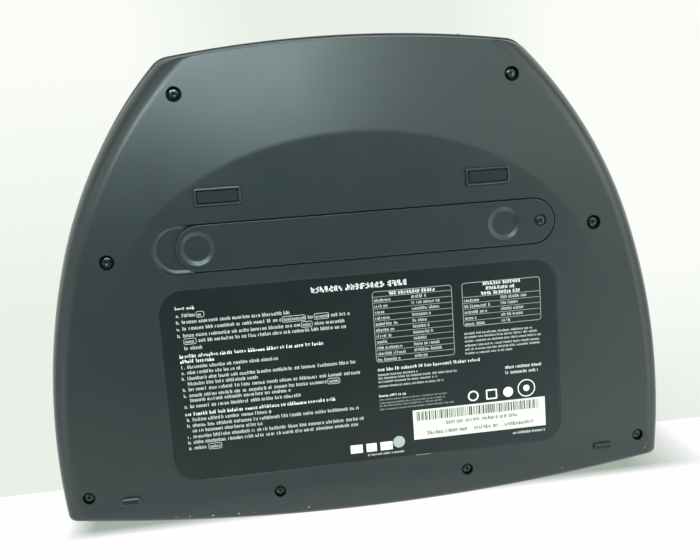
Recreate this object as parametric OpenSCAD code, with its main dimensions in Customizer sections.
/* [Case outline] */
// Greatest width of the case
case_w = 317; // [312:1:330]
// Depth of the joint between the two cases, from the front centre to the rear centre
case_d = 243; // [238:1:250]
// Radius of the convex front edge
front_arc_r = 1100; // [900:50:1600]
// Radius of the convex rear edge
rear_arc_r = 620; // [500:10:900]
// Radius of each side edge where the case is widest
side_arc_r = 325; // [300:5:360]
// Radius of each side edge towards the rear corner
shoulder_arc_r = 225; // [215:5:240]
// Distance of the widest section in front of the case centre
widest_front = 70; // [60:1:75]
// Distance behind the widest section where the side curve tightens
shoulder_start = 90; // [80:1:100]
// Radius of the front corners
front_corner_r = 3.5; // [2:0.5:6]
// Radius of the rear corners
rear_corner_r = 13; // [9:1:16]

/* [Case heights] */
// Height that the feet hold the underside above the table
foot_h = 1.6; // [1.2:0.1:2.4]
// Depth of the bottom case at its front edge
bottom_front_h = 4.4; // [4:0.2:6]
// Rise of the joint between the two cases towards the rear
part_tilt = 3.2; // [2.8:0.1:3.6]
// Height of the key deck at the front edge
deck_front_h = 13.6; // [13.4:0.1:15]
// Tilt of the key deck
deck_tilt = 5.5; // [5.3:0.1:6]
// Height of the display panel at its front edge
display_front_h = 28.6; // [28:0.2:31]
// Tilt of the display panel
display_tilt = 15; // [13:0.5:16]
// Wall thickness of both cases
wall = 2.4; // [2:0.1:2.8]
// Open groove between the two cases
seam_gap = 0.5; // [0.3:0.1:0.8]

/* [Underside form] */
// Width of the soft edge along each side at the front
side_band_front = 8; // [6:0.5:10]
// Width of the soft edge along each side at the rear
side_band_rear = 12.5; // [10:0.5:14]
// Width of the soft edge along the front
front_band = 3.2; // [2:0.2:4]
// Distance that the upper case overhangs the lower one at the rear
rear_overhang = 1.6; // [1:0.2:2.4]
// Swelling of the upper case past the joint at the rear
rear_lip = 1; // [0:0.1:1.5]
// Draft of the rear wall of the lower case
rear_draft = 1.4; // [0.8:0.2:2]
// Half width of the oval flat that carries the battery cover
flat_a = 123; // [120:0.5:125]
// Half depth of the oval flat
flat_b = 84.7; // [80:0.5:88]
// Distance of the oval centre in front of the case centre
flat_front = 11.5; // [8:0.5:14]
// Slope of the tail behind the oval flat
tail_angle = 6.6; // [5:0.2:7]

/* [Battery cover] */
// Length of the cover
cover_l = 192.3; // [190:0.1:194]
// Width of the cover
cover_w = 23; // [22:0.5:24]
// Thickness of the cover
cover_t = 2.2; // [2:0.1:2.4]
// Left end of the cover seen from above
cover_x0 = -102.2; // [-104:0.2:-101]
// Distance of the cover's centre line behind the key field
cover_behind = 20.24; // [19.5:0.1:21.5]
// Distance that the cover slides
cover_travel = 10.5; // [9:0.5:11]
// Clearance round the cover
cover_gap = 0.35; // [0.2:0.05:0.5]
// Radius of each thumb dish
dish_r = 8.2; // [7:0.2:9]
// Radius of the dish floor
dish_floor_r = 6.1; // [5:0.1:6.8]
// Depth of each thumb dish
dish_depth = 1; // [0.6:0.1:1.2]
// Positions of the two thumb dishes along the case
dish_x = [79.9, -75.4];
// Position of the cover screw along the case
cover_screw_x = -94.6; // [-95:0.2:-93]

/* [Cells] */
// Diameter of one cell
cell_d = 14.2; // [13.5:0.1:14.5]
// Length of one cell with its button
cell_l = 50.4; // [49.5:0.1:50.5]
// Number of cells in line
cell_count = 3; // [3:1:3]
// Diameter of the backup coin cell
coin_d = 20; // [16:0.5:20]

/* [Screws] */
// Shaft radius of the case screws
screw_r = 1.4; // [1.2:0.1:1.6]
// Head radius of the case screws
screw_head_r = 2.45; // [2.2:0.05:2.6]
// Radius of the rear and middle screw wells
well_r = 3.55; // [3.3:0.05:3.8]
// Radius of the front screw wells
front_well_r = 2.9; // [2.8:0.05:3.1]
// Depth of a head below the case surface
head_sink = 1.5; // [1:0.1:2]
// Rear screws, in from the side and from the rear edge
rear_screw_in = [74.2, 24.6];
// Middle screws, in from the side and behind the key field
side_screw_in = [34.9, 17.04];
// Outer front screws, in from the side and from the front edge
corner_screw_in = [13.7, 22.9];
// Inner front screws, in from the side and from the front edge
front_screw_in = [108.9, 14.9];

/* [Feet and label] */
// Length of each rear rubber pad
pad_l = 19.6; // [16:0.2:20]
// Width of each rear rubber pad
pad_w = 5.6; // [5:0.2:6]
// Width of the raised frame round each rubber pad
pad_frame = 1.2; // [1:0.1:1.6]
// Distance of each rear pad from the middle
pad_x = 67.8; // [60:0.2:72]
// Distance of the rear pads behind the battery cover's centre line
pad_behind = 24.8; // [22:0.2:26]
// Length of each moulded front foot
front_foot_l = 10; // [8:0.5:12]
// Width of each moulded front foot
front_foot_w = 4; // [3:0.5:5]
// Front feet, in from the side and from the front edge
front_foot_in = [34, 19];
// Width of the printed label
label_w = 202.6; // [190:0.2:204]
// Distance from the front edge to the label
label_margin = 26.2; // [25:0.2:28]
// Distance from the label to the battery cover
label_gap = 8.6; // [8:0.2:10]
// Corner radius of the label
label_r = 12; // [8:0.5:14]
// Size of the white sticker
sticker_size = [71.2, 15.9];
// Corner of the white sticker, in from the label's side and front edges
sticker_in = [8.3, 8.25];

/* [Keys] */
// Width of the deck on each side of the key field
deck_margin = 19; // [18.5:0.5:22]
// Depth of the small keys in the rear row, as a part of the pitch
small_row = 0.6; // [0.55:0.01:0.65]
// Depth of the deck in front of the key field
keys_margin = 18.9; // [18.5:0.1:19.5]
// Gap between neighbouring key caps at their base
key_gap = 0.8; // [0.6:0.1:1.2]
// Height of a key top above the deck
key_top = 5.4; // [4.5:0.1:6]
// Depth of a key's skirt below the deck
key_skirt = 1; // [0.6:0.1:1.4]
// Travel of a key
key_travel = 2.6; // [2:0.1:2.8]
// Taper of a key cap on each side
key_taper = 2.2; // [1.5:0.1:2.8]
// Radius of the guide stem under a key
stem_r = 2.2; // [1.8:0.1:2.4]
// Clearance of a stem in its guide
stem_gap = 0.12; // [0.08:0.01:0.2]

/* [Display] */
// Depth of the deck between the key field and the display housing
hump_gap = 14.44; // [14:0.2:15.4]
// Width of the case on each side of the display lens
lens_side = 75.5; // [73:0.5:78]
// Depth of the housing in front of the lens
lens_front = 8; // [7:0.5:9]
// Depth of the housing's flat behind the lens
lens_back = 12.7; // [12:0.1:15]
// Thickness of the display lens
lens_t = 1.2; // [1:0.1:1.4]
// Width of the printed border on each side of the screen
screen_side = 9; // [8:0.5:12]
// Width of the printed border in front of and behind the screen
screen_end = 6.5; // [6:0.5:8]
// Thickness of the screen module
lcd_t = 6; // [5:0.5:6.5]

/* [Electronics] */
// Distance from the main board's side to the rear screws
board_side = 10.3; // [9:0.1:14]
// Distance from the main board to the battery bay
board_front = 11.6; // [10:0.2:16]
// Distance from the main board to the rear edge
board_rear = 8.5; // [8.5:0.5:12]
// Thickness of the main board
board_t = 1.6; // [1.2:0.1:1.6]
// Height of the top of the main board above the table
board_top = 21.4; // [21:0.1:21.8]
// Places of the sockets along the rear wall, square, flat and round
socket_x = [38, 8, -18];
// Place of the infrared window along the rear wall
window_x = -52; // [-60:1:-45]
// Thickness of the backup coin cell
coin_t = 3.2; // [2.5:0.1:3.2]

/* [Hidden] */
$fn = 48;
front_y = -case_d / 2;
rear_y = case_d / 2;
widest_y = -widest_front;
clear = 0.1;
flat_c = [0, -flat_front];
base_z = foot_h;
key_u = (case_w - 2 * deck_margin) / 15;
field_w = 15 * key_u;
field_d = (5 + small_row) * key_u;
field_y = front_y + keys_margin + field_d / 2;
field_rear = field_y + field_d / 2;
cover_y = field_rear + cover_behind;
label_d = cover_y - cover_w / 2 - label_gap - front_y - label_margin;
label_y = front_y + label_margin + label_d / 2;
hump_rear = 0.8;
hump_roll = 32;
hump_front_y = field_rear + hump_gap;
hump_back_y = rear_y - hump_rear - hump_roll;
lens_w = case_w - 2 * lens_side;
lens_d = hump_back_y - lens_back - hump_front_y - lens_front;
display_y = hump_front_y + lens_front + lens_d / 2;
screen_w = lens_w - 2 * screen_side;
screen_d = lens_d - 2 * screen_end;
screw_xy = [
    [case_w / 2 - rear_screw_in.x, rear_y - rear_screw_in.y],
    [case_w / 2 - side_screw_in.x, field_rear + side_screw_in.y],
    [case_w / 2 - corner_screw_in.x, front_y + corner_screw_in.y],
    [case_w / 2 - front_screw_in.x, front_y + front_screw_in.y]
];
pad_xy = [pad_x, cover_y + pad_behind];
front_foot_xy = [case_w / 2 - front_foot_in.x, front_y + front_foot_in.y];
sticker_xy = [-label_w / 2 + sticker_in.x + sticker_size.x / 2,
    label_y - label_d / 2 + sticker_in.y + sticker_size.y / 2];

// Colours as the photo shows them, or as such a product has them
case_grey = "#4d5858";
key_grey = "#3a4244";
rubber_black = "#1d2021";
screw_black = "#2a2c2e";
print_black = "#2b3333";
paper_white = "#eef1ec";
steel = "#b9bcbd";
board_green = "#23643f";

// Plane curves of the outline

function unit(a) = [cos(a), sin(a)];
function bearing(v) = atan2(v.y, v.x);
function mix(a, b, t) = a + (b - a) * t;

// Centre of a fillet of radius q that lies inside two circles, on the right half
function fillet_centre(ca, ra, cb, rb, q) =
    let (v = cb - ca, d = norm(v), p = ra - q, t = rb - q)
    let (a = (p * p - t * t + d * d) / (2 * d), h = sqrt(p * p - a * a))
    let (u = v / d, w = [-u.y, u.x], p1 = ca + a * u + h * w, p2 = ca + a * u - h * w)
    p1.x > p2.x ? p1 : p2;

// Right half of the outline from the front centre to the rear centre, drawn in by
// f at the front, s0 to s1 along the side and r at the rear, with corner radii qf and qr
function half_outline(f, s0, s1, r, qf, qr) =
    let (cf = [0, front_y + front_arc_r], rf = front_arc_r - f)
    let (cs = [case_w / 2 - side_arc_r, widest_y], turn = asin(shoulder_start / side_arc_r))
    let (ch = cs + (side_arc_r - shoulder_arc_r) * unit(turn))
    let (cr = [0, rear_y - rear_arc_r], rr = rear_arc_r - r)
    let (low = fillet_centre(cf, rf, cs, side_arc_r - s0, qf), is_low = bearing(low - cs) < turn)
    let (pf = is_low ? low : fillet_centre(cf, rf, ch, shoulder_arc_r - s0, qf))
    let (pr = fillet_centre(ch, shoulder_arc_r - s1, cr, rr, qr))
    let (a0 = bearing(pf - cf), a1 = bearing(pf - (is_low ? cs : ch)))
    let (a2 = bearing(pr - ch), a3 = bearing(pr - cr))
    concat(
        [for (i = [0:7]) cf + rf * unit(mix(-90, a0, i / 8))],
        [for (i = [0:2]) pf + qf * unit(mix(a0, a1, i / 3))],
        [for (i = [0:15])
            let (a = mix(a1, a2, i / 16), s = mix(s0, s1, i / 16))
            (a < turn ? cs : ch) + ((a < turn ? side_arc_r : shoulder_arc_r) - s) * unit(a)],
        [for (i = [0:3]) pr + qr * unit(mix(a2, a3, i / 4))],
        [for (i = [0:6]) cr + rr * unit(mix(a3, 90, i / 6))]
    );

function outline(f, s0, s1, r, qf, qr) =
    let (h = half_outline(f, s0, s1, r, qf, qr), n = len(h))
    concat(h, [for (i = [n - 2:-1:1]) [-h[i].x, h[i].y]]);

// Solid through closed rings of equal length, from the lowest to the highest
module loft(rings) {
    n = len(rings[0]);
    polyhedron(
        points = [for (r = rings) each r],
        faces = concat(
            [[for (i = [0:n - 1]) i]],
            [for (k = [0:len(rings) - 2], i = [0:n - 1])
                let (j = (i + 1) % n)
                each [[k * n + i, (k + 1) * n + i, (k + 1) * n + j],
                      [k * n + i, (k + 1) * n + j, k * n + j]]],
            [[for (i = [n - 1:-1:0]) (len(rings) - 1) * n + i]]
        ),
        convexity = 6
    );
}

function lift(points, z) = [for (p = points) [p.x, p.y, z(p)]];

// Planes and surfaces of the case

function part_z(y) = foot_h + bottom_front_h + (y - front_y) * tan(part_tilt);
function deck_z(y) = deck_front_h + (y - front_y) * tan(deck_tilt);
function display_z(y) = display_front_h + (y - hump_front_y) * tan(display_tilt);

// Height of a superellipse quarter whose flat run is x, with exponent n
function bulge(x, n) = pow(max(0, 1 - pow(x, n)), 1 / n);

// The crease of the oval flat in the direction of p, or a point short of p in front of it
function crease_point(p) =
    let (v = p - flat_c, d = norm(v), u = v / d)
    let (k = 1 / sqrt(pow(u.x / flat_a, 2) + pow(u.y / flat_b, 2)))
    flat_c + u * (v.y > 0 ? min(k, d - 0.5) : 0.85 * d);

function tail_rise(p) =
    let (v = p - flat_c, s = v.y > 0 ? v.y / norm(v) : 0)
    norm(p - crease_point(p)) * tan(tail_angle * pow(s, 0.8));

// Exponent of the side band, fuller and more sudden towards the rear corners
function band_power(y) = mix(2, 1.4, max(0, min(1, (y - front_y) / (case_d * 0.85))));

// Rings of the lower case, drawn in by e all round and lifted by up
function lower_rings(steps, e, up, top) =
    let (end = outline(front_band + e, side_band_front + e, side_band_rear + e,
            rear_overhang + rear_draft + e, front_corner_r + 1, rear_corner_r * 0.4))
    let (floor_z = [for (p = end) base_z + tail_rise(p)])
    concat(
        [[for (p = end) let (c = crease_point(p)) [c.x, c.y, base_z + up]]],
        [for (x = steps)
            let (g = 1 - x)
            let (ring = outline(front_band * g + e, side_band_front * g + e,
                    side_band_rear * g + e, rear_overhang + rear_draft * g + e,
                    mix(front_corner_r, front_corner_r + 1, g), mix(rear_corner_r, rear_corner_r * 0.4, g)))
            [for (i = [0:len(ring) - 1])
                let (p = ring[i], z = mix(part_z(p.y), floor_z[i], bulge(x, band_power(p.y))))
                [p.x, p.y, min(z + up, part_z(p.y) + top)]]],
        top > 0 ? [lift(outline(e, e, e, rear_overhang + e, front_corner_r, rear_corner_r),
            function(p) part_z(p.y) + top + 1)] : []
    );

// Rings of the upper case's tray, drawn in by e and lowered by down
tray_side = 6;
tray_front = 4.5;
tray_rear = 40;
tray_rise = 5.5;
roll_y = rear_y - tray_rear;

// A flat outline, swollen towards the rear by k times the rear lip
lip_centre = [0, front_y + 100];
lip_reach = 60;
function swell(ring, k) =
    [for (p = ring)
        let (v = p - lip_centre, near = max(0, min(1, (p.y - rear_y) / lip_reach + 1.4)))
        p + v / norm(v) * k * rear_lip * pow(near, 1.5)];

function tray_ring(x, e, down) =
    let (g = 1 - x, qf = mix(front_corner_r, front_corner_r + 3, g))
    let (ring = outline(tray_front * g + e, tray_side * g + e, tray_side * g + e,
            tray_rear * g + e, qf, mix(rear_corner_r, rear_corner_r + 6, g)))
    [for (p = swell(ring, 1))
        let (top = deck_z(min(p.y, roll_y)) - down)
        [p.x, p.y, mix(wall_top(p.y) - down, top, bulge(x, 2))]];
function wall_top(y) = min(deck_z(min(y, roll_y)) - tray_rise, part_z(y) + 9);

module tray(e, down, low) {
    rounding = e > 0 ? 0 : 0.7;
    loft(concat(
        [lift(swell(outline(rounding + e, rounding + e, rounding + e, rounding + e,
            front_corner_r, rear_corner_r), e > 0 ? 1 : 0.2), function(p) part_z(p.y) + low)],
        e > 0 ? [] : [lift(swell(outline(0, 0, 0, 0, front_corner_r, rear_corner_r), 0.8),
            function(p) part_z(p.y) + low + 1.2)],
        [for (x = e > 0 ? [1, 0.75, 0] : [1, 0.95, 0.8, 0.5, 0]) tray_ring(x, e, down)]
    ));
}

// The raised display housing, drawn in by e and lowered by down
hump_front = hump_front_y - front_y;
hump_slope = 9;
hump_side = 7;
hump_round = 10;
rear_drop = 5;
function hump_ring(x, e, down, sink) =
    let (g = 1 - x)
    let (ring = outline(hump_front - hump_slope * x + e, hump_side + hump_round * g + e,
            hump_side + hump_round * g + e, hump_rear + hump_roll * g + e, mix(16, 12, g), mix(10, 22, g)))
    [for (p = swell(ring, 1))
        let (drop = rear_drop * max(0, min(1, (p.y - rear_y) / 50 + 1.23)))
        let (low = deck_z(min(p.y, roll_y)) - 3 - drop, top = display_z(min(p.y, hump_back_y)))
        [p.x, p.y, mix(low, top, bulge(x, 2.2)) - down - sink]];

module hump(e, down, sink) {
    loft(concat(
        [hump_ring(1, e, down, sink)],
        [for (x = e > 0 ? [1, 0.98, 0.92, 0.8, 0.4, 0] : [1, 0.98, 0.92, 0.8, 0.6, 0.3, 0])
            hump_ring(x, e, down, 0)]
    ));
}

// Small helpers

module mirrored() {
    for (s = [1, -1]) scale([1, 1, 1]) mirror([s < 0 ? 1 : 0, 0, 0]) children();
}

module round_rect(w, d, r) {
    square([w - 2 * r, d], center = true);
    square([w, d - 2 * r], center = true);
    for (x = [-1, 1], y = [-1, 1]) translate([x * (w / 2 - r), y * (d / 2 - r)]) circle(r);
}

module round_plate(w, d, h, r) {
    linear_extrude(h) round_rect(w, d, r);
}

module slot_plate(l, w, h) {
    linear_extrude(h) {
        square([l - w, w], center = true);
        for (x = [-1, 1]) translate([x * (l - w) / 2, 0]) circle(w / 2);
    }
}

module block(w, d, h) {
    translate([-w / 2, -d / 2, 0]) cube([w, d, h]);
}

module on_deck() {
    translate([0, 0, deck_z(0)]) rotate([deck_tilt, 0, 0]) children();
}

module on_display() {
    translate([0, display_y, display_z(display_y)]) rotate([display_tilt, 0, 0]) children();
}

// Lower case

cover_cx = cover_x0 + cover_l / 2;
cover_well = 1.3;
recess_l = cover_l + cover_travel + 3 * cover_gap;
recess_x = cover_x0 - cover_gap + recess_l / 2;
recess_depth = cover_t + clear;
tray_floor = 1.8;
bay_l = cell_l * cell_count + 6;
bay_w = cell_d + 1.6;
bay_wall = 1.5;
cell_z = base_z + cover_t + 0.4 + cell_d / 2;
bay_top = cell_z + cell_d / 2 + 0.4;
hook_x = [-62, -22, 22, 58];
hook_l = 7;
hook_reach = 1.5;
hook_t = 1.2;
hook_z = base_z + recess_depth + tray_floor + 0.2;
screw_boss_r = 3.4;
boss_split = 0.15;
head_h = 1.5;
foot_r = 0.8;
label_recess = 0.35;
label_t = 0.2;
sticker_t = 0.1;

// Height of the outer surface at a screw
function surface_z(p) =
    let (v = p - flat_c, c = crease_point(p), out = v.y > 0 && norm(v) > norm(c - flat_c) + 0.6)
    base_z + (out ? tail_rise(p) : 0);
function is_front(p) = p.y < 0;
function head_z(p) = surface_z(p) + head_sink;
function boss_top(p) = part_z(p.y) - boss_split;

module screw_places() {
    for (p = screw_xy) mirrored() translate([p.x, p.y, 0]) children();
}

module lower_bosses() {
    for (p = screw_xy) mirrored() translate([p.x, p.y, 0]) {
        cylinder(r = screw_boss_r + (is_front(p) ? 0 : 1), h = max(head_z(p) + head_h + 1.6, part_z(p.y) - 2));
    }
}

module battery_bay() {
    translate([recess_x, cover_y, 0])
        slot_plate(recess_l + 4, cover_w + 6, base_z + recess_depth + tray_floor);
    translate([0, cover_y, 0]) block(bay_l + 2 * bay_wall, bay_w + 2 * bay_wall + 4.4, bay_top + bay_wall);
    translate([cover_screw_x + cover_travel / 2, cover_y, 0]) block(cover_travel + 7, 8, 11);
}

module bay_cuts() {
    translate([0, cover_y, base_z]) block(bay_l, bay_w, bay_top - base_z);
    for (x = hook_x, s = [-1, 1]) {
        w = hook_reach + 0.5;
        translate([x + cover_travel / 2, cover_y + s * (bay_w + w) / 2, base_z + recess_depth + tray_floor])
            block(hook_l + cover_travel + 1, w + 0.02, hook_t + 1);
        translate([x + cover_travel, cover_y + s * (bay_w + w) / 2, base_z])
            block(hook_l + 0.8, w + 0.02, recess_depth + tray_floor + 0.1);
    }
}

module slot_for_cover_screw() {
    translate([cover_screw_x + cover_travel / 2, cover_y, base_z + 1])
        slot_plate(cover_travel + 2 * screw_r + 0.6, 2 * screw_r + 0.4, 8.4);
}

board_w = 2 * (screw_xy[0].x - board_side);
bay_rear = cover_y + bay_w / 2 + bay_wall + 2.2;
board_d = rear_y - board_rear - bay_rear - board_front;
board_y = rear_y - board_rear - board_d / 2;
post_r = 2.6;
post_xy = [[board_w / 2 - 6, board_y - board_d / 2 + 5], [board_w / 2 - 6, board_y + board_d / 2 - 9]];
module board_posts() {
    for (p = post_xy) mirrored() translate([p.x, p.y, 0]) cylinder(r = post_r, h = board_top - board_t);
}

keybed_low = -9.6;
rest_at = [[0.108, -0.36], [0.34, -0.36], [0.108, 0.1], [0.34, 0.1], [0.459, 0.293], [0.215, 0.447]];
rest_xy = [for (p = rest_at) [p.x * field_w, field_y + p.y * field_d]];
module keybed_rests() {
    for (p = rest_xy) mirrored() translate([p.x, p.y, 0])
        cylinder(r = 2.4, h = deck_z(p.y - 2.4) + keybed_low / cos(deck_tilt) - 0.1, $fn = 24);
}

module front_foot() {
    translate([0, 0, 0]) round_plate(front_foot_l, front_foot_w, foot_h + 0.5, foot_r);
}

module pad_frame_ring() {
    round_plate(pad_l + 2 * pad_frame + 0.8, pad_w + 2 * pad_frame + 0.8, foot_h, foot_r);
}

module bottom_case() {
    color(case_grey)
    difference() {
        union() {
            difference() {
                loft(lower_rings([0, 0.35, 0.6, 0.8, 0.92, 0.98, 1], 0, 0, 0));
                difference() {
                    loft(lower_rings([0, 0.6, 1], wall + 1.1, wall, 1));
                    lower_bosses();
                    battery_bay();
                    board_posts();
                    keybed_rests();
                }
            }
            mirrored() translate([front_foot_xy.x, front_foot_xy.y, 0]) front_foot();
            mirrored() translate([pad_xy.x, pad_xy.y, 0.25]) pad_frame_ring();
        }
        translate([recess_x, cover_y, 0]) slot_plate(recess_l, cover_w + 2 * cover_gap, base_z + recess_depth);
        bay_cuts();
        slot_for_cover_screw();
        for (p = screw_xy) mirrored() translate([p.x, p.y, 0]) {
            cylinder(r = is_front(p) ? front_well_r : well_r, h = head_z(p) + head_h);
            cylinder(r = screw_r + 0.25, h = part_z(p.y) + 4);
        }
        mirrored() translate([pad_xy.x, pad_xy.y, -1])
            round_plate(pad_l + 0.8, pad_w + 0.8, foot_h + 1.6, foot_r / 2);
        translate([0, label_y, 0])
            round_plate(label_w + 1.4, label_d + 1.4, base_z + label_recess, label_r + 0.7);
    }
}

module battery_cover() {
    r = cover_w / 2;
    soft = 0.4;
    profile = [[0, 0], [r - soft, 0], [r, soft], [r, cover_t], [0, cover_t]];
    color(case_grey)
    translate([cover_cx, cover_y, base_z])
    difference() {
        union() {
            for (s = [0, 1]) rotate([0, 0, 180 * s])
                translate([(cover_l - cover_w) / 2, 0, 0])
                    rotate([0, 0, -90]) rotate_extrude(angle = 180) polygon(profile);
            for (s = [0, 1]) rotate([0, 0, 180 * s])
                translate([-(cover_l - cover_w) / 2, 0, 0])
                    rotate([90, 0, 90]) linear_extrude(cover_l - cover_w) polygon(profile);
            for (x = hook_x, s = [-1, 1]) translate([x - cover_cx, s * (bay_w / 2 - 0.7), cover_t - 0.01]) {
                block(hook_l, 1, hook_z - base_z - cover_t + hook_t);
                translate([0, s * (hook_reach / 2 + 0.2), hook_z - base_z - cover_t])
                    block(hook_l, hook_reach + 1.2, hook_t);
            }
        }
        for (x = dish_x) translate([x - cover_cx, 0, -0.01])
            cylinder(r1 = dish_r, r2 = dish_floor_r, h = dish_depth);
        translate([cover_screw_x - cover_cx, 0, -0.01]) {
            cylinder(r = 3.35, h = cover_well);
            cylinder(r = screw_r + 0.2, h = cover_t + 1);
        }
    }
}

// Pan head screw with a cross recess, head down
module screw(l, head_r) {
    difference() {
        union() {
            cylinder(r1 = head_r - 0.5, r2 = head_r, h = 0.5);
            translate([0, 0, 0.5]) cylinder(r = head_r, h = head_h - 0.5);
            translate([0, 0, head_h]) cylinder(r = screw_r, h = l);
        }
        for (a = [0, 90]) rotate([0, 0, a]) translate([0, 0, -0.1]) block(head_r * 1.1, 0.75, 1);
    }
}

module cover_screw() {
    color(screw_black) translate([cover_screw_x, cover_y, base_z + cover_well - head_h - 0.03]) screw(5.5, 2.3);
}

module case_screws() {
    color(screw_black)
    for (p = screw_xy) mirrored() translate([p.x, p.y, head_z(p) - 0.02])
        screw(part_z(p.y) + 3.5 - head_z(p) - head_h, screw_head_r);
}

module rear_feet() {
    color(rubber_black)
    mirrored() translate([pad_xy.x, pad_xy.y, 0]) round_plate(pad_l, pad_w, foot_h + 0.55, foot_r / 2);
}

module underside_label() {
    color(print_black) translate([0, label_y, base_z + label_recess - label_t])
        round_plate(label_w, label_d, label_t, label_r);
}

module serial_sticker() {
    color(paper_white) translate([sticker_xy.x, sticker_xy.y, base_z + label_recess - label_t - sticker_t])
        block(sticker_size.x, sticker_size.y, sticker_t);
}

// Upper case

opening_gap = 0.7;
socket_z = board_top;

module upper_bosses() {
    for (p = screw_xy) mirrored() translate([p.x, p.y, part_z(p.y) + boss_split])
        cylinder(r = screw_boss_r, h = 40);
}

module upper_pilots() {
    for (p = screw_xy) mirrored() translate([p.x, p.y, part_z(p.y) - 2])
        cylinder(r = screw_r + 0.05, h = 6);
}

module key_opening() {
    on_deck() translate([0, field_y, -9])
        round_plate(field_w + 2 * opening_gap - key_gap, field_d + 2 * opening_gap - key_gap, 20, 1.2);
}

module rear_openings() {
    translate([socket_x[0], rear_y, socket_z + 1.2]) block(9.2, 40, 8.4);
    translate([socket_x[1], rear_y, socket_z + 0.4]) block(12.6, 40, 5);
    translate([socket_x[2], rear_y - 20, socket_z + 5.2]) rotate([-90, 0, 0]) cylinder(r = 4.2, h = 40);
    translate([window_x, rear_y, socket_z + 0.5]) block(22, 40, 7.5);
}

module top_case() {
    color(case_grey)
    difference() {
        union() {
            tray(0, 0, seam_gap);
            hump(0, 0, 4);
        }
        difference() {
            union() {
                tray(wall, wall, -1);
                hump(wall, wall, 12);
            }
            upper_bosses();
        }
        upper_pilots();
        key_opening();
        on_display() {
            translate([0, 0, -lens_t - 0.1]) round_plate(lens_w + 0.4, lens_d + 0.4, 12, 4.2);
            translate([0, 0, -8]) round_plate(screen_w + 6, screen_d + 6, 20, 2);
        }
        rear_openings();
    }
}

// Display

module display_window() {
    color("#8fa0a0", 0.5) on_display() translate([0, 0, -lens_t])
        round_plate(lens_w, lens_d, lens_t, 4);
}

mask_t = 0.3;
module display_mask() {
    color(print_black) on_display() translate([0, 0, -wall - mask_t - 0.05]) difference() {
        round_plate(screen_w + 10, screen_d + 10, mask_t, 2);
        translate([0, 0, -1]) round_plate(screen_w, screen_d, 3, 1);
    }
}

module lcd_module() {
    on_display() translate([0, 0, -wall - mask_t - 0.1]) {
        color(steel) translate([0, 0, -lcd_t]) difference() {
            block(screen_w + 12, screen_d + 12, lcd_t);
            translate([0, 0, lcd_t - 2.2]) block(screen_w + 4, screen_d + 4, 4);
        }
        color("#9ba892") translate([0, 0, -2.15]) block(screen_w + 3.6, screen_d + 3.6, 2.1);
    }
}

// Keyboard

small_count = 17;
key_rows = [
    [for (i = [1:small_count]) 15 / small_count],
    [for (i = [1:14]) i < 14 ? 1 : 2],
    [for (i = [1:14]) i == 1 || i == 14 ? 1.5 : 1],
    [for (i = [1:13]) i == 1 ? 1.75 : i == 13 ? 2.25 : 1],
    [for (i = [1:13]) i == 1 ? 2.25 : i == 12 ? 1.75 : 1],
    [1.25, 1.25, 1.25, 5.75, 1.25, 1.25, 1, 1, 1]
];
guide_top = -key_skirt - key_travel - 0.4;
guide_t = 1.5;
sheet_top = guide_top - guide_t - key_travel - 0.3;
sheet_t = 0.6;
plate_t = 0.6;

function sum_to(list, n) = n <= 0 ? 0 : list[n - 1] + sum_to(list, n - 1);
function key_x(r, i) = (sum_to(key_rows[r], i) + key_rows[r][i] / 2 - 7.5) * key_u;
function row_h(r) = r == 0 ? small_row : 1;
function key_y(r) = field_y + field_d / 2 - (r == 0 ? small_row / 2 : small_row + r - 0.5) * key_u;
function stem_x(w) = w < 1.7 ? [0] : w < 3 ? [-0.5 * key_u, 0.5 * key_u] : [-2 * key_u, 0, 2 * key_u];

function cap_ring(w, d, r, y, z) =
    [for (c = [0:3], i = [0:2])
        let (a = c * 90 + i * 45, sx = c == 0 || c == 3 ? 1 : -1, sy = c < 2 ? 1 : -1)
        [sx * (w / 2 - r) + r * cos(a), sy * (d / 2 - r) + r * sin(a) + y, z]];

// One key cap with its guide stems, at its own place on the deck
module key(r, i) {
    w = key_rows[r][i] * key_u - key_gap;
    d = row_h(r) * key_u - key_gap;
    taper = r == 0 ? key_taper * 0.5 : key_taper;
    back = r == 0 ? 0 : 0.6;
    high = r == 0 ? key_top - 2 : key_top;
    on_deck() translate([key_x(r, i), key_y(r), 0]) {
        loft([cap_ring(w, d, 1, 0, -key_skirt), cap_ring(w - 0.4, d - 0.4, 1, 0, 0.4),
            cap_ring(w - 2 * taper, d - 2 * taper, 1.8, back, high)]);
        for (x = stem_x(key_rows[r][i])) translate([x, 0, guide_top - guide_t - 0.1])
            cylinder(r = stem_r, h = key_travel + guide_t + 0.6);
    }
}

module stems_2d(r) {
    for (row = [0:5], i = [0:len(key_rows[row]) - 1], x = stem_x(key_rows[row][i]))
        translate([key_x(row, i) + x, key_y(row)]) circle(r, $fn = 24);
}

bed_w = field_w + 5;
bed_d = field_d + 4;
bed_edge = 1.4;

module keyboard_frame() {
    color("#2b2f31") on_deck() difference() {
        union() {
            translate([0, field_y, guide_top - guide_t]) linear_extrude(guide_t) difference() {
                square([bed_w, bed_d], center = true);
                translate([0, -field_y]) stems_2d(stem_r + stem_gap);
            }
            translate([0, field_y, sheet_top + 0.05]) difference() {
                block(bed_w, bed_d, -wall - sheet_top - 0.35);
                translate([0, 0, -1]) block(bed_w - 2 * bed_edge, bed_d - 2 * bed_edge, 20);
            }
        }
        for (p = screw_xy) if (is_front(p)) mirrored()
            translate([p.x, p.y, -20]) cylinder(r = screw_boss_r + 0.8, h = 30);
    }
}

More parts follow.
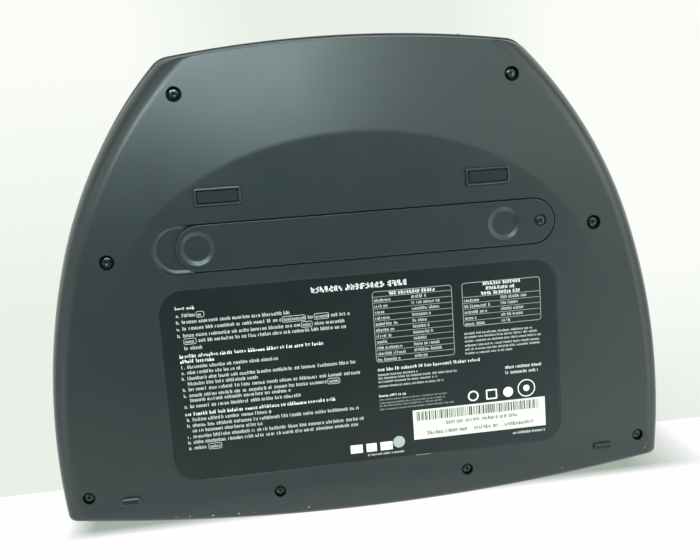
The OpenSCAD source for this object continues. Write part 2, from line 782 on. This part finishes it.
module dome_sheet() {
    color("#c9cdc8") on_deck() {
        difference() {
            translate([0, field_y, sheet_top - sheet_t]) block(bed_w - 1, bed_d - 1, sheet_t);
            for (p = screw_xy) if (is_front(p)) mirrored()
                translate([p.x, p.y, -20]) cylinder(r = screw_boss_r + 0.8, h = 30);
        }
        translate([0, 0, sheet_top]) linear_extrude(key_travel - 0.2) difference() {
            stems_2d(stem_r + 1.3);
            stems_2d(stem_r + 0.6);
        }
    }
}

module keyboard_plate() {
    color(steel) on_deck() difference() {
        translate([0, field_y, keybed_low]) block(bed_w, bed_d, plate_t);
        for (p = screw_xy) if (is_front(p)) mirrored()
            translate([p.x, p.y, -20]) cylinder(r = screw_boss_r + 0.8, h = 30);
    }
}

// Electronics

module main_board() {
    color(board_green) difference() {
        translate([0, board_y, board_top - board_t]) block(board_w, board_d, board_t);
        for (p = post_xy) mirrored() translate([p.x, p.y, 0]) cylinder(r = 1.2, h = 40);
    }
    color("#222427") for (c = [[-0.135, -0.13, 20, 20, 2.2], [0.095, -0.19, 14, 20, 2.2],
            [0.31, -0.22, 12, 18, 1.6], [-0.34, -0.28, 8, 10, 1.6], [-0.325, 0.07, 10, 6, 3]])
        translate([c[0] * board_w, board_y + c[1] * board_d, board_top]) block(c[2], c[3], c[4]);
}

// Rear edge of the case at x, and the depth of each socket's face behind it
function rear_edge_y(x) = rear_y + rear_lip - rear_arc_r + sqrt(pow(rear_arc_r, 2) - x * x);
square_y = rear_edge_y(socket_x[0] + 6) - 7;
flat_y = rear_edge_y(socket_x[1] + 6.6) - 4.2;
jack_y = rear_edge_y(socket_x[2] - 4.5) - 5.8;
socket_l = 16;
jack_l = 14;

module usb_square_socket() {
    color(steel) translate([socket_x[0], square_y - socket_l, socket_z]) difference() {
        translate([0, socket_l / 2, 0]) block(12, socket_l, 10.8);
        translate([0, socket_l / 2 + 2, 1.5]) block(8.5, socket_l, 7.8);
    }
    color("#111315") translate([socket_x[0], square_y - socket_l + 7.5, socket_z + 3.8]) block(5.6, 11, 3.2);
}

module usb_flat_socket() {
    color(steel) translate([socket_x[1], flat_y - socket_l, socket_z]) difference() {
        translate([0, socket_l / 2, 0]) block(13.2, socket_l, 5.8);
        translate([0, socket_l / 2 + 2, 0.6]) block(12, socket_l, 4.6);
    }
    color("#111315") translate([socket_x[1], flat_y - socket_l + 7.5, socket_z + 3.1]) block(10.8, 11, 2);
}

module power_jack() {
    color("#16181a") translate([socket_x[2], jack_y - jack_l, socket_z]) difference() {
        translate([0, jack_l / 2, 0]) block(9, jack_l, 9.6);
        translate([0, 2, 5.2]) rotate([-90, 0, 0]) cylinder(r = 2.9, h = jack_l);
    }
    color(steel) translate([socket_x[2], jack_y - jack_l + 1, socket_z + 5.2])
        rotate([-90, 0, 0]) cylinder(r = 0.95, h = 11);
}

module infrared_window() {
    color("#2a0f14") translate([window_x, rear_edge_y(window_x) - 1.7, socket_z + 0.7]) block(21.6, 1.8, 7.1);
}

module coin_cell() {
    color(steel) translate([-board_w * 0.31, board_y + board_d * 0.31, board_top])
        cylinder(d = coin_d, h = coin_t);
}

contact_w = 10;
contact_h = 12;
module battery_contacts() {
    color(steel) for (s = [-1, 1]) translate([s * (bay_l / 2 - 0.35), cover_y, cell_z]) {
        translate([-0.3, -contact_w / 2, -contact_h / 2]) cube([0.6, contact_w, contact_h]);
        translate([-s * 0.3, 0, 0]) rotate([0, -s * 90, 0]) cylinder(r1 = 4, r2 = 2, h = 1.9);
    }
}

module cells() {
    start = -cell_l * cell_count / 2;
    color("#7d8488") for (i = [0:cell_count - 1]) translate([start + i * cell_l, cover_y, cell_z])
        rotate([0, 90, 0]) {
            cylinder(d = cell_d, h = cell_l - 1.3);
            cylinder(r = 2.7, h = cell_l - 0.05);
        }
}

// Keys that share a node: name, row, first and last place in the row
KEY_NODES = concat(
    [["on_off_key", 0, 0, 0]],
    [for (i = [1:8]) [str("file_key_", i), 0, i, i]],
    [["print_key", 0, 9, 9], ["spelling_key", 0, 10, 10], ["find_key", 0, 11, 11],
     ["clear_key", 0, 12, 12], ["home_key", 0, 13, 13], ["end_key", 0, 14, 14],
     ["programs_key", 0, 15, 15], ["send_key", 0, 16, 16],
     ["number_keys", 1, 0, 12], ["backspace_key", 1, 13, 13],
     ["tab_key", 2, 0, 0], ["upper_letter_keys", 2, 1, 13],
     ["caps_lock_key", 3, 0, 0], ["home_letter_keys", 3, 1, 11], ["enter_key", 3, 12, 12],
     ["left_shift_key", 4, 0, 0], ["lower_letter_keys", 4, 1, 10],
     ["right_shift_key", 4, 11, 11], ["up_key", 4, 12, 12],
     ["left_control_key", 5, 0, 0], ["option_key", 5, 1, 1], ["left_command_key", 5, 2, 2],
     ["space_bar", 5, 3, 3], ["right_command_key", 5, 4, 4], ["right_control_key", 5, 5, 5],
     ["left_key", 5, 6, 6], ["down_key", 5, 7, 7], ["right_key", 5, 8, 8]]
);

bottom_case();
top_case();
battery_cover();
cover_screw();
case_screws();
rear_feet();
underside_label();
serial_sticker();
display_window();
display_mask();
lcd_module();
keyboard_frame();
dome_sheet();
keyboard_plate();
main_board();
usb_square_socket();
usb_flat_socket();
power_jack();
infrared_window();
coin_cell();
battery_contacts();
cells();
for (k = KEY_NODES)
    color(key_grey) for (i = [k[2]:k[3]]) key(k[1], i);
